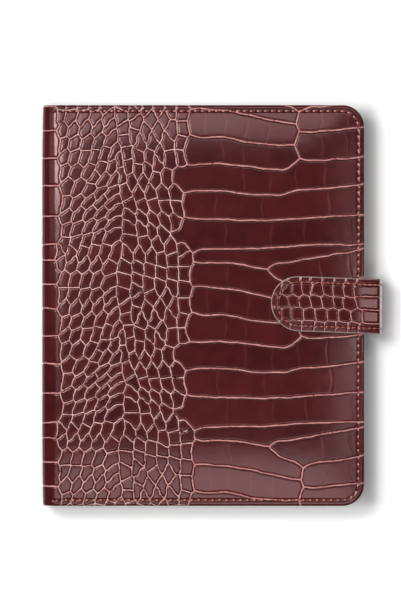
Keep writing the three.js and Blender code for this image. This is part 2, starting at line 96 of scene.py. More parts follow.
# Rows of small scales in one repeat: how many, and points that the row runs through.
SMALL_ROWS = (
    (5, (62, 131), (109, 127.5)), (5, (62, 145), (98, 142), (111, 139)), (6, (64, 158), (97, 157), (115, 153)),
    (5, (63, 172), (87, 171.5), (104, 168), (114, 167)), (2, (95.5, 178), (103, 181)),
    (5, (67, 188), (81, 189), (102, 194), (112, 192.5)), (5, (66, 203), (91, 202), (113, 203)),
    (5, (67, 217), (92, 213), (114, 212)), (5, (66, 230), (90, 228), (112, 224)),
    (5, (64, 244), (79, 243), (98, 237), (111, 235.5)), (6, (60, 253), (116, 254)),
    (5, (60, 264), (95, 264), (109, 267)), (5, (64, 280), (86, 280), (98, 280), (108, 283)),
    (5, (61, 295), (96, 296), (109, 296)), (6, (124, 129), (136, 137), (148, 132), (169, 131), (183, 129)),
    (5, (125, 141), (146, 145), (157, 140), (182, 143)),
    (6, (126, 153), (147, 160), (156, 152), (168, 160), (182, 157)),
    (5, (119, 160), (134, 171), (146, 171), (157, 163)), (5, (122, 176), (135, 184), (146, 181), (167, 179)),
    (5, (126, 193), (147, 193), (175, 193)), (5, (131, 206), (177, 208)), (5, (131, 217), (176, 222)),
    (4, (131, 227), (142, 228), (163, 234)), (5, (132, 243), (145, 244), (157, 243), (169, 247), (183, 249)),
    (6, (128, 255), (139, 256), (149, 256), (160, 262), (173, 260), (184, 259)),
    (6, (126, 267), (136, 267), (147, 270), (158, 273), (172, 274), (185, 273)),
    (6, (126, 281), (136, 279), (147, 284), (159, 285), (170, 286), (184, 290)),
    (4, (124, 295), (136, 299.5), (147, 296.5), (167, 297)), (1, (136, 290), (136, 290)), (1, (115, 180), (115, 180)),
)
# Creases between the strips that run round the spine, in one repeat.
SPINE_CREASES = (131, 158, 186, 216, 245, 260, 284)
# Faint wrinkles across the long scales: x at the upper end, upper y, x at the lower end, lower y.
WRINKLES = (
    (205, 111, 206, 134), (224, 113, 225, 134), (247, 117, 246, 139), (269, 122, 268, 142), (243, 146, 243, 164),
    (222, 140, 223, 161), (296, 168, 297, 188), (322, 112, 321, 129), (322, 135, 323, 156), (345, 132, 349, 156),
    (345, 107, 350, 127), (243, 170, 243, 192), (215, 194, 216, 217), (262, 198, 262, 218), (330, 192, 329, 214),
    (271, 223, 272, 246), (225, 223, 225, 246), (350, 219, 352, 242), (227, 266, 228, 286), (320, 262, 322, 282),
    (348, 256, 351, 277), (270, 173, 270, 193), (325, 164, 326, 187), (305, 222, 305, 243),
)

# The seam's distance from the edge and its pitch; the spacing of the face's places, also in a band at its ends.
SEAM_INSET, STITCH_PITCH = 3.4, 4.0
GRID, EDGE_GRID, EDGE_BAND = 0.56, 0.36, 4.0
# The cloth lining's two faces, under the leather's face.
LINING_DEPTHS = (-3.6, -3.1)

# The strap: half its width, its tip, how far out it stands, its turn on the cover and its middle; then its
# root, its under side and its top, and the radii of its lower and upper bend.
STRAP_HALF, STRAP_TIP, STRAP_REACH, STRAP_TURN, STRAP_Y = 15.95, 39.0, 102.8, -0.035, 1.0
STRAP_ROOT, STRAP_LOW, STRAP_TOP, LOWER_BEND, UPPER_BEND = 82.8, 1.1, 43.2, 7.0, 3.5
# The place that the strap turns round, where along the strap its seam starts, and the seam's pitch.
STRAP_TURN_X, STRAP_SEWN_FROM, STRAP_PITCH = 54.6, 14.0, 3.0

# The leaves' ruled field in metres, and the pitch of bold rows, bold columns and thin lines in each layout.
RULED_X, RULED_Y, HEAD_LINE = (-0.0580, 0.0652), (-0.0926, 0.0924), (0.0950, 0.0958)
RULING = {"week": (0.0264, 0.2, 0.0066), "month": (0.03, 0.0176, 0.3), "notes": (0.2, 0.2, 0.0066)}

# The shadow on the floor as two rectangles in metres: half the width and the middle along x, then along y.
SHADOWS = (((0.092, 0.004), (0.1115, 0.0005)), ((0.057, 0.0473), (0.014, -0.002)))
# How much the floor is lifted to paper white, against five times the distance from them.
LIFT = ((0.0, 0.0), (0.0155, 0.085), (0.0385, 0.32), (0.075, 0.44), (1.0, 1.0))

# Softboxes round the camera, in metres and radiance: level leather mirrors the dark gap between them.
LAMP_HEIGHT = 1.3
LAMPS = (
    ("corner_box", -0.50, -0.158, 0.09, 0.35, 29.5), ("corner_top_box", -0.158, -0.141, 0.145, 0.35, 28.0),
    ("rim_box", -1.3, -0.55, 0.05, 0.40, 2.1), ("spine_box", -0.40, -0.16, -0.06, 0.09, 4.9),
    ("head_box", -0.15, 0.34, 0.24, 0.42, 6.2), ("foot_box", -0.45, 0.25, -0.41, -0.21, 6.2),
    ("foot_near_box", -0.45, 0.25, -0.21, -0.165, 3.3), ("fore_box", 0.22, 0.30, 0.03, 0.24, 1.5),
    ("strap_box", 0.27, 0.62, -0.04, 0.03, 11.5), ("fore_foot_box", 0.205, 0.30, -0.175, -0.04, 3.9),
)
ROOM_LIGHT, ROOM_MIRRORED = 0.107, 0.29
CAMERA_HEIGHT, VIEW_HEIGHT, SENSOR = 2.5, 0.3447, 36
CAMERA_OVER = (-0.00144, 0.00287)


# ---- numbers

def smoothstep(low, high, value):
    t = np.clip((value - low) / (high - low), 0, 1)
    return t * t * (3 - 2 * t)


def bilinear(f, ix, iy, fx, fy):
    """Values a share fx, fy of the way from a grid's column ix and row iy to the next; the grid goes round."""
    jx, jy = (ix + 1) % f.shape[1], (iy + 1) % f.shape[0]
    ix, iy = ix % f.shape[1], iy % f.shape[0]
    return (f[iy, ix] * (1 - fx) + f[iy, jx] * fx) * (1 - fy) + (f[jy, ix] * (1 - fx) + f[jy, jx] * fx) * fy


def smooth_noise(x, y, size, seed):
    """Value noise from -1 to 1 at places x, y, with cells of the given size."""
    lattice = np.random.default_rng(seed).uniform(-1, 1, (64, 64))
    gx, gy = x / size + 500, y / size + 500
    ix, iy = np.floor(gx).astype(int), np.floor(gy).astype(int)
    return bilinear(lattice, ix, iy, smoothstep(0, 1, gx - ix), smoothstep(0, 1, gy - iy))


def along(points, count):
    pts = np.array(points, float)
    at = np.concatenate([[0], np.cumsum(np.hypot(*(pts[1:] - pts[:-1]).T))])
    t = np.linspace(0, at[-1], count)
    return np.stack([np.interp(t, at, pts[:, k]) for k in range(pts.shape[1])], 1)


def arc(x, y, radius, start, end, count):
    """Points on a circle from one angle to another, as rows of x and y."""
    a = np.linspace(start, end, count)
    return np.column_stack([x + radius * np.cos(a), y + radius * np.sin(a)])


def unit(vectors):
    return vectors / np.maximum(np.linalg.norm(vectors, axis=-1, keepdims=True), 1e-9)


def photo_mm(px, py):
    return (px - PHOTO_CENTRE[0]) * PHOTO_MM, (PHOTO_CENTRE[1] - py) * PHOTO_MM


# ---- embossing

def lean(px, py):
    """The tilt of a small scale's long side from the y axis, in degrees, to the right at its top."""
    row = (py - 123) % REPEAT + 123
    if px < 119:
        steep = math.exp(-(((row - 205) / 28) ** 2)) * min(1, max(0, (px - 66) / 22))
        return 14 + 10 * (px - 60) / 55 + 24 * steep
    return -16 * math.exp(-(((row - 212) / 24) ** 2)) - 4


def long_scale(stations, dx, dy):
    """A long scale as discs: rows of x, y and radius."""
    x, top, low = np.array(stations, float).T
    xs = np.linspace(x[0], x[-1], int((x[-1] - x[0]) / 2.5) + 2)
    t, b = np.interp(xs, x, top), np.interp(xs, x, low)
    r = (b - t) / 2
    # discs that would reach past an end are left out, but not where the scale runs off the fore-edge
    keep = xs - xs[0] >= r[0] * 0.8
    if x[-1] < 360:
        keep &= xs[-1] - xs >= r[-1] * 0.8
    if keep.sum() < 2:
        keep[:] = True
    px, py = photo_mm(xs + dx, (t + b) / 2 + dy)
    return np.stack([px[keep], py[keep], r[keep] * PHOTO_MM], 1)


def small_scale(px, py, dx, dy, jitter):
    """A small scale as seven discs of 2.1 mm in a row of 5 mm."""
    a = math.radians(lean(px, py))
    x, y = photo_mm(px + dx + jitter[0], py + dy + jitter[1])
    return np.array([(x + t * math.sin(a), y + t * math.cos(a), 2.1) for t in np.linspace(-2.5, 2.5, 7)])


def cover_scales(flip):
    """Every scale of a cover as rows of x, y and radius; flip turns those beside the spine end for end."""
    rng = np.random.default_rng(7)
    scales = []
    for repeat in REPEATS:
        dy, dx = repeat * REPEAT, repeat * REPEAT_SHIFT
        scales += [long_scale(s, dx, dy) for s in LONG_SCALES]
        for count, *points in SMALL_ROWS:
            for px, py in along(points, count):
                scales.append(small_scale(px, py, dx, dy, rng.uniform(-0.5, 0.5, 2)))
    if flip:
        for s in scales:
            s[:, 1] *= -1
    for repeat in REPEATS:
        lines = [line + repeat * REPEAT for line in (*SPINE_CREASES, SPINE_CREASES[0] + REPEAT)]
        for top, low in zip(lines, lines[1:]):
            r = (low - top) / 2
            x, y = photo_mm(np.linspace(0, 54.5 - r * 0.45, 12), np.full(12, (top + low) / 2))
            scales.append(np.stack([x, y, np.full(12, r * PHOTO_MM)], 1))
    return scales


def crease_raster(scales, box, step=0.2, reach=9.0):
    """On a raster: the distance to the nearest crease, the nearest scale's number and the way off the crease."""
    xs, ys = np.arange(box[0], box[1], step), np.arange(box[2], box[3], step)
    shape = (len(ys), len(xs))
    f1, f2, who = np.full(shape, 1e3), np.full(shape, 1e3), np.full(shape, -1)
    for i, discs in enumerate(scales):
        r = discs[:, 2].max() + reach
        x0, x1 = np.searchsorted(xs, (discs[:, 0].min() - r, discs[:, 0].max() + r))
        y0, y1 = np.searchsorted(ys, (discs[:, 1].min() - r, discs[:, 1].max() + r))
        if x1 <= x0 or y1 <= y0:
            continue
        best = np.full((y1 - y0, x1 - x0), 1e3)
        for x, y, radius in discs:
            a0, a1 = np.searchsorted(xs[x0:x1], (x - r, x + r))
            if a1 > a0:
                d = np.hypot(xs[None, x0 + a0:x0 + a1] - x, ys[y0:y1, None] - y) - radius
                best[:, a0:a1] = np.minimum(best[:, a0:a1], d)
        f1w, f2w, w = f1[y0:y1, x0:x1], f2[y0:y1, x0:x1], who[y0:y1, x0:x1]
        nearer = best < f1w
        f2w[:] = np.where(nearer, f1w, np.minimum(f2w, best))
        w[:] = np.where(nearer, i, w)
        f1w[:] = np.where(nearer, best, f1w)
    gap = f2 - f1
    gy, gx = np.gradient(gap, step)
    slope = np.hypot(gx, gy)
    shifts = ((0, 0), (1, 1), (-1, -1), (1, -1), (-1, 1))
    steep = np.maximum.reduce([np.roll(slope, shift, (0, 1)) for shift in shifts])
    dist = gap / np.clip(slope, 0.7, 2.2) + 0.8 * smoothstep(0.7, 0.3, steep)
    return {"xs": xs, "ys": ys, "step": step, "dist": dist, "who": who,
            "gx": gx / np.maximum(slope, 1e-6), "gy": gy / np.maximum(slope, 1e-6)}


def sample(raster, x, y, *keys):
    """Bilinear values of a raster's fields, and the nearest one for the scale's number."""
    fx = np.clip((x - raster["xs"][0]) / raster["step"], 0, len(raster["xs"]) - 1.001)
    fy = np.clip((y - raster["ys"][0]) / raster["step"], 0, len(raster["ys"]) - 1.001)
    ix, iy, nearest = fx.astype(int), fy.astype(int), (np.rint(fy).astype(int), np.rint(fx).astype(int))
    return [raster[key][nearest] if key == "who" else bilinear(raster[key], ix, iy, fx - ix, fy - iy)
            for key in keys]


def warped(x, y):
    """Places moved a little, so that drawn creases run as unevenly as real ones."""
    wx = 0.35 * smooth_noise(x, y, 7, 11) + 0.14 * smooth_noise(x, y, 2.4, 12)
    wy = 0.35 * smooth_noise(x, y, 7, 13) + 0.14 * smooth_noise(x, y, 2.4, 14)
    return x + wx, y + wy


# ---- meshes

def box_mm(node):
    return [np.array(corner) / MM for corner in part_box(node)]


def linked(name, data):
    ob = bpy.data.objects.new(name, data)
    bpy.context.scene.collection.objects.link(ob)
    return ob


def new_piece(name, verts, faces, material, smooth=True):
    """A mesh object from millimetres; smooth may be the angle in degrees over which edges stay sharp."""
    mesh = bpy.data.meshes.new(name)
    verts, sizes = np.asarray(verts, float) * MM, np.array([len(face) for face in faces])
    mesh.vertices.add(len(verts))
    mesh.vertices.foreach_set("co", verts.astype(np.float32).ravel())
    mesh.loops.add(int(sizes.sum()))
    mesh.loops.foreach_set("vertex_index", np.concatenate(faces).astype(np.int32))
    mesh.polygons.add(len(sizes))
    mesh.polygons.foreach_set("loop_start", (np.cumsum(sizes) - sizes).astype(np.int32))
    mesh.update(calc_edges=True)
    ob = linked(name, mesh)
    mesh.materials.append(material)
    mesh.validate()
    if smooth is True:
        mesh.polygons.foreach_set("use_smooth", np.ones(len(mesh.polygons), bool))
    elif smooth:
        bpy.context.view_layer.objects.active = ob
        ob.select_set(True)
        bpy.ops.object.shade_smooth_by_angle(angle=math.radians(smooth))
        ob.select_set(False)
    return ob


def placed(ob, slot, *old, body=None):
    """Hides the nodes that a piece stands for and hangs it on the body that it rides on; slot is not used."""
    if old:
        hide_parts(*old)
    if body:
        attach(ob, body)
    return ob


def bent(ob):
    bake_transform(ob)


def placed_on_cover(ob, side, slot, kind):
    """Has a piece stand for a cover's flat part and hinge, whose nodes it hides; the spine goes with the front."""
    spine = [f"spine_{kind}"] if side == "front" else []
    bent(placed(ob, slot, f"{side}_{kind}", f"{side}_hinge_{kind}", *spine))


def fields(ob, **values):
    """Gives a mesh's vertices attributes for its material."""
    for name, numbers in values.items():
        layer = ob.data.attributes.new(name, "FLOAT", "POINT")
        layer.data.foreach_set("value", np.asarray(numbers, np.float32).ravel())


def strip_faces(rows, cols, closed=False):
    """Quads over a grid of rows by cols vertices; closed joins the last column to the first."""
    i, j = np.meshgrid(np.arange(rows - 1), np.arange(cols if closed else cols - 1), indexing="ij")
    k = (j + 1) % cols
    return np.stack([i * cols + j, i * cols + k, (i + 1) * cols + k, (i + 1) * cols + j], -1).reshape(-1, 4)


def capped(rows, cols):
    """Faces of a tube of rows rings with cols vertices each, shut at both ends."""
    end = np.arange(cols)
    return [*strip_faces(rows, cols, closed=True), end[::-1], end + cols * (rows - 1)]


def gather(parts):
    """Several (verts, faces) joined in one."""
    faces, base = [], 0
    for verts, part in parts:
        faces += [face + base for face in part]
        base += len(verts)
    return np.concatenate([verts for verts, _ in parts]), faces


def slab(outline, low, high, radius=0.3):
    """A plate with rounded edges over an outline of x, y points, counterclockwise, as (verts, faces)."""
    t = unit(unit(np.roll(outline, -1, 0) - outline) + unit(outline - np.roll(outline, 1, 0)))
    outward = np.stack([t[:, 1], -t[:, 0]], 1)
    turn = [(radius * (1 - math.sin(a)), radius * (1 - math.cos(a))) for a in np.linspace(0, QUARTER, 4)]
    levels = [(inset, low + rise) for inset, rise in turn] + [(inset, high - rise) for inset, rise in turn[::-1]]
    rings = [np.insert(outline - outward * inset, 2, z, axis=1) for inset, z in levels]
    return np.concatenate(rings), capped(len(rings), len(outline))


def round_outline(x0, x1, y0, y1, radii, steps=8):
    """A rectangle's outline; radii are those at lower left, lower right, upper right and upper left."""
    arcs = []
    for (x, y, quarter), r in zip(((x0, y0, 2), (x1, y0, 3), (x1, y1, 0), (x0, y1, 1)), radii):
        cx, cy = (x + r if x == x0 else x - r), (y + r if y == y0 else y - r)
        arcs.append(arc(cx, cy, r, quarter * QUARTER, (quarter + 1) * QUARTER, steps))
    return np.concatenate(arcs)


def tube(points, radius, sides, flat=(0.0, 1.0, 0.02)):
    """A round tube along points, shut at its ends, as (verts, faces); flat is a direction across it."""
    p = np.array(points, float)
    t = unit(np.gradient(p, axis=0))
    side = unit(np.cross(t, flat))
    up = np.cross(side, t)
    r = np.broadcast_to(radius, (len(p),))[:, None, None]
    a = np.linspace(0, 4 * QUARTER, sides, endpoint=False)[:, None]
    rings = p[:, None] + r * (side[:, None] * np.cos(a) + up[:, None] * np.sin(a))
    return rings.reshape(-1, 3), capped(len(p), sides)


# ---- the leather's wrap

def wrap(x, y, n, side):
    """A flat place x, y and a height n over the leather's face, in space. Flat x runs on round the bend."""
    s = np.clip(BEND_START - x, 0, None)
    t = np.clip(s / BEND_LENGTH, 0, 1)
    a = QUARTER * t ** 3
    px = np.maximum(x, BEND_START) - np.interp(t, BEND_TURN, BEND_REACH) - n * np.sin(a)
    pz = THICK - np.interp(t, BEND_TURN, BEND_RISE) - np.clip(s - BEND_LENGTH, 0, None) + n * np.cos(a)
    return np.stack([px, y, THICK - pz if side == "back" else pz], -1)


def border_crown(inset, x, y):
    """The padded face's height: a seam's groove, and a rise from it to the plateau."""
    seam = -0.2 * np.exp(-(((inset - SEAM_INSET) / 0.55) ** 2))
    from_fore, from_end = (1 - (1 - np.clip((d - SEAM_INSET) / 40, 0, 1)) ** 2.1
                           for d in (FORE_X - x, HALF_HEIGHT - np.abs(y)))
    return seam - 1.15 * (1 - from_fore * from_end) - 0.05 * smoothstep(SEAM_INSET, 0, inset)


def corner_height(x, radius):
    """Half the height at flat x of an outline with the fore corners' radius."""
    over = np.clip(x - CORNER_X, 0, None)
    return CORNER_Y + np.sqrt(np.maximum(radius ** 2 - over ** 2, 0))


def inset_of(x, y):
    """Distance inside the cover's outline; the spine side has no edge."""
    cx, cy = x - CORNER_X, np.abs(y) - CORNER_Y
    straight = np.minimum(FORE_X - x, HALF_HEIGHT - np.abs(y))
    return np.where((cx > 0) & (cy > 0), CORNER - np.hypot(cx, cy), straight)


def seam_holes(path, pitch):
    length = np.hypot(*np.diff(np.array(path), axis=0).T).sum()
    return along(path, int(round(length / pitch)) + 1)


def cover_holes():
    """The seam's needle holes in flat places, from the head at the spine round the fore-edge to the foot."""
    corner = arc(CORNER_X, CORNER_Y, CORNER - SEAM_INSET, QUARTER, 0, 12)
    upper = np.array([(FOLD_X + 1, HALF_HEIGHT - SEAM_INSET), *corner])
    return seam_holes(np.concatenate([upper, upper[::-1] * (1, -1)]), STITCH_PITCH)


def hole_dips(x, y, inset, holes, reach, spread):
    """How far the leather is drawn in at the needle holes, from 0 to 1, within reach of the seam."""
    dips = np.zeros_like(x)
    near = np.abs(inset - SEAM_INSET) < reach
    d = np.full(near.sum(), 1e3)
    for hx, hy in holes:
        d = np.minimum(d, (x[near] - hx) ** 2 + (y[near] - hy) ** 2)
    dips[near] = np.exp(-d / spread)
    return dips


def relief_of(dist, size, depth):
    """How deep the leather lies at a distance from a crease."""
    return -depth * (1 - np.clip(dist / size, 0, 1)) ** 2.4


def shaded_side(raster, x, y, dist, broad, flip):
    """Painted shade beside the creases, on their side turned from the light: under the long scales' creases, and before
    the small scales' ones.
    """
    gx, gy = sample(raster, x, y, "gx", "gy")
    gy *= -1 if flip else 1
    facing = np.where(broad, -gy, -0.66 * gx + 0.75 * gy)
    band = smoothstep(0.15, 0.35, dist) * smoothstep(np.where(broad, 1.9, 1.2), 0.6, dist)
    return smoothstep(-0.1, 0.6, facing) * band


def wrinkle_field(x, y, flip):
    """Faint cross wrinkles, as a strength from 0 to 1."""
    out = np.zeros_like(x)
    for repeat in REPEATS:
        for line in WRINKLES:
            (ax, ay), (bx, by) = (photo_mm(px + repeat * REPEAT_SHIFT, py + repeat * REPEAT)
                                  for px, py in (line[:2], line[2:]))
            if flip:
                ay, by = -ay, -by
            near = (np.abs(x - ax) < 6) & (y < max(ay, by) + 1) & (y > min(ay, by) - 1)
            t = np.clip((y[near] - ay) / (by - ay), 0, 1)
            d = x[near] - (ax + (bx - ax) * t) - 0.5 * np.sin(t * 5 + ax)
            fade = np.sin(np.clip(t, 0.02, 0.98) * math.pi) ** 0.3
            out[near] = np.maximum(out[near], np.exp(-(d / 0.4) ** 2) * fade)
    return out


def snap_to_creases(raster, X, Y, part, limit, free):
    """Moves the free places in a part of a grid that lie next to a crease onto it, and says which were moved."""
    x, y, moved = X[part], Y[part], np.zeros(X.shape, bool)
    for _ in range(2):
        d, gx, gy = sample(raster, *warped(x, y), "dist", "gx", "gy")
        size = np.maximum(np.hypot(gx, gy), 1e-6)
        gx, gy = gx / size, gy / size
        shift = d / np.maximum(np.abs(gx), np.abs(gy))
        close = (shift < limit * 0.52) & (size > 0.3)
        flat_x = np.abs(gx) >= np.abs(gy)
        x = x - np.where(close & flat_x, np.sign(gx) * shift, 0)
        y = y - np.where(close & ~flat_x, np.sign(gy) * shift, 0)
        moved[part] |= close
    moved[part] &= free
    X[part], Y[part] = np.where(moved[part], x, X[part]), np.where(moved[part], y, Y[part])
    return moved


def cover_grid(raster):
    """The face's flat places in rows and columns, which of them were moved onto a crease, and its triangles."""
    inner, half = CORNER - EDGE_RADIUS, HALF_HEIGHT - EDGE_RADIUS
    turn = np.linspace(0, QUARTER, int(inner * QUARTER / GRID) + 1)[1:]
    straight = np.linspace(MID_SPINE, CORNER_X, int((CORNER_X - MID_SPINE) / GRID) + 1)
    xs = np.concatenate([straight, CORNER_X + inner * np.sin(turn)])
    # the rows lie closer together in a band beside the edge
    edge = np.linspace(0, EDGE_BAND, int(EDGE_BAND / EDGE_GRID) + 1)[:-1]
    middle = np.linspace(EDGE_BAND - half, half - EDGE_BAND, int(2 * (half - EDGE_BAND) / GRID) + 1)
    ts = np.concatenate([edge - half, middle, (half - edge)[::-1]]) / half
    X, Y = np.tile(xs, (len(ts), 1)), ts[:, None] * corner_height(xs, inner)
    inside = np.s_[1:-1, 1:-1]
    moved = snap_to_creases(raster, X, Y, inside, GRID, X[inside] < CORNER_X - 1)

    # a square is cut along the crease where two opposite corners lie on one, and else by turns
    cols, m = X.shape[1], moved.ravel()
    a, b, c, d = strip_faces(*X.shape).T
    cut = (m[a] & m[c]) | ~(m[b] & m[d]) & ((a + a // cols) % 2 == 0)
    tris = [np.stack(corners, 1)[keep] for corners, keep in (
        ((a, b, c), cut), ((a, c, d), cut), ((a, b, d), ~cut), ((b, c, d), ~cut))]
    return X, Y, moved, np.concatenate(tris)


def cover_skin(side):
    """A cover's leather from its turned fore-edge to the middle of the spine."""
    flip = side == "back"
    scales = cover_scales(flip)
    raster = crease_raster(scales, (MID_SPINE - 8, FORE_X + 8, -HALF_HEIGHT - 8, HALF_HEIGHT + 8))
    X, Y, moved, tris = cover_grid(raster)
    index = np.arange(X.size).reshape(X.shape)

    # the turned edge: loops of places further and further down the rim, beside the grid's outer places
    ring = np.concatenate([index[0, :], index[1:-1, -1], index[-1, ::-1]])
    bx, by = X.ravel()[ring], Y.ravel()[ring]
    ox, oy = np.clip(bx - CORNER_X, 0, None), np.clip(np.abs(by) - CORNER_Y, 0, None)
    size = np.hypot(ox, oy)
    ox, oy = ox / size, oy / size * np.sign(by)
    # each loop's way out and down, how far it faces outward, and the leather's length up to it
    run = [(EDGE_RADIUS * math.sin(t), EDGE_RADIUS * (1 - math.cos(t)), math.sin(t), EDGE_RADIUS * t)
           for t in np.linspace(0, QUARTER, 6)[1:]]
    run += [(EDGE_RADIUS, z, 1.0, EDGE_RADIUS * (QUARTER - 1) + z) for z in (1.75, 2.2, 2.6)]
    run += [(EDGE_RADIUS - 0.15, 2.9, 0.8, 4.0), (EDGE_RADIUS - 0.6, RIM_DEPTH, 0.0, 4.5),
            (EDGE_RADIUS - 3.0, RIM_DEPTH - 0.05, 0.0, 6.5)]
    out, down, outward, length = np.array(run).T[..., None]

    def whole(on_face, on_rim):
        return np.concatenate([np.broadcast_to(on_face, X.shape).ravel(),
                               np.broadcast_to(on_rim, (len(run), len(ring))).ravel()])

    flat_x, flat_y = whole(X, bx + ox * length), whole(Y, by + oy * length)
    out_x, out_y = whole(X, bx + ox * out), whole(Y, by + oy * out)
    depth, facing = whole(0.0, down), whole(0.0, outward)
    loops = np.concatenate([ring, X.size + np.arange(len(run) * len(ring))]).reshape(-1, len(ring))
    for near, far in zip(loops, loops[1:]):
        quads = np.stack([near[:-1], far[:-1], far[1:], near[1:]], 1)
        tris = np.concatenate([tris, quads[:, :3], quads[:, [0, 2, 3]]])

    wx, wy = warped(flat_x, flat_y)
    dist, who = sample(raster, wx, wy, "dist", "who")
    dist[:X.size][moved.ravel()] = 0
    inset = inset_of(out_x, out_y)
    wrinkle = wrinkle_field(wx, wy, flip)
    # the creases flatten out where the leather is stretched over the rim
    relief = relief_of(dist, 1.0, 0.55) * (1 - 0.5 * smoothstep(6.0, 3.2, inset)) - 0.05 * wrinkle * (dist > 0.6)
    relief += 0.006 * smooth_noise(flat_x, flat_y, 3.1, 21) + 0.03 * smooth_noise(flat_x, flat_y, 14, 22)
    dips = hole_dips(flat_x, flat_y, inset, cover_holes(), 2.0, 0.55 ** 2)
    dips[X.size:] = 0
    crown = border_crown(inset, out_x, out_y) * (1 - 0.6 * smoothstep(-74, -88, out_x))
    crown *= np.clip(1 - depth / 2, 0, 1)
    rise = crown + np.where(depth < RIM_DEPTH - 0.2, relief, 0) * (1 - facing) - dips * 0.3
    push = relief * facing * 0.7
    places = wrap(out_x + whole(0.0, ox) * push, out_y + whole(0.0, oy) * push, rise - depth, side)
    ob = new_piece(f"{side}_cover_leather", places, tris[:, ::-1] if flip else tris, leather_material())
    broad = np.array([s[:, 2].max() > 2.2 for s in scales] + [False])[who]
    # the creases get painted shade on their side turned from the light, and the needle holes get painted shade
    fields(ob, crease=dist - 0.12 * broad, broad=broad, shade=shaded_side(raster, wx, wy, dist, broad, flip),
           tint=np.random.default_rng(5).uniform(-1, 1, who.max() + 2)[who], wrinkle=wrinkle * (dist > 0.5),
           hole=dips)
    placed_on_cover(ob, side, "cover_leather", "leather")


# ---- materials

def rgba(value):
    """A colour for a socket: one number is a linear grey, and three from 0 to 255 are sRGB."""
    if isinstance(value, (int, float)):
        return (value, value, value, 1.0)
    return tuple(((c / 255 + 0.055) / 1.055) ** 2.4 if c > 10 else c / 255 / 12.92 for c in value) + (1.0,)


def dimmed(tone, share):
    return tuple(c * share for c in tone)


class Nodes:
    """Adds shader nodes to a tree; most methods give the new node's output."""

    def __init__(self, tree):
        self.tree = tree

    def fill(self, node, inputs):
        """Sets a node's inputs, given as values or sockets."""
        for key, value in inputs.items():
            if isinstance(value, bpy.types.NodeSocket):
                self.tree.links.new(value, node.inputs[key])
            else:
                node.inputs[key].default_value = value
        return node

    def add(self, kind, inputs=None, **settings):
        node = self.tree.nodes.new("ShaderNode" + kind)
        for key, value in settings.items():
            setattr(node, key, value)
        return self.fill(node, inputs or {})

    def place(self):
        return self.add("TexCoord").outputs["Object"]

    def attribute(self, name):
        return self.add("Attribute", attribute_name=name, attribute_type="GEOMETRY").outputs["Fac"]

    def maths(self, operation, *values):
        return self.add("Math", dict(enumerate(values)), operation=operation).outputs[0]

    def times(self, a, b):
        return self.maths("MULTIPLY", a, b)

    def larger(self, a, b):
        return self.maths("MAXIMUM", a, b)

    def mix(self, factor, a, b):
        a, b = (v if isinstance(v, bpy.types.NodeSocket) else rgba(v) for v in (a, b))
        return self.add("Mix", {0: factor, 6: a, 7: b}, data_type="RGBA").outputs[2]

    def ramp(self, factor, *stops, curve="EASE"):
        node = self.add("ValToRGB", {0: factor})
        node.color_ramp.interpolation = curve
        points = node.color_ramp.elements
        while len(points) < len(stops):
            points.new(0.5)
        for point, (place, colour) in zip(points, stops):
            point.position = place
            point.color = rgba(colour)
        return node.outputs[0]

    def between(self, factor, dark, light):
        """Two tones for the darker and the lighter part of a noise."""
        return self.ramp(factor, (0.3, dark), (0.7, light))

    def noise(self, scale, detail=3.0, roughness=0.55):
        inputs = {"Vector": self.place(), "Scale": scale, "Detail": detail, "Roughness": roughness}
        return self.add("TexNoise", inputs).outputs["Fac"]

    def pebble(self, scale):
        return self.add("TexVoronoi", {"Vector": self.place(), "Scale": scale}).outputs["Distance"]

    def wave(self, scale, distortion, direction, detail=2.0):
        inputs = {"Vector": self.place(), "Scale": scale, "Distortion": distortion, "Detail": detail}
        return self.add("TexWave", inputs, bands_direction=direction).outputs["Fac"]

    def bump(self, height, strength, distance):
        return self.add("Bump", {"Height": height, "Strength": strength, "Distance": distance}).outputs[0]

    def lines_at(self, value, offset, pitch, width):
        """Printed lines across a coordinate, in metres."""
        turns = self.maths("FRACT", self.maths("DIVIDE", self.maths("SUBTRACT", value, offset), pitch))
        return self.maths("LESS_THAN", turns, width / pitch)

    def within(self, value, low, high):
        return self.times(self.maths("GREATER_THAN", value, low), self.maths("LESS_THAN", value, high))


class Look(Nodes):
    """A new material's nodes, with a Principled shader."""

    def __init__(self, name):
        self.material = bpy.data.materials.new(name)
        self.material.use_nodes = True
        super().__init__(self.material.node_tree)
        self.tree.nodes.clear()
        out, self.shader = self.add("OutputMaterial"), self.add("BsdfPrincipled")
        self.tree.links.new(self.shader.outputs[0], out.inputs[0])

    def surface(self, colour, rough, **others):
        """Fills in the shader and gives the material; others are inputs, with _ for a space."""
        inputs = {key.replace("_", " "): value for key, value in others.items()}
        self.fill(self.shader, {"Base Color": colour, "Roughness": rough, **inputs})
        return self.material


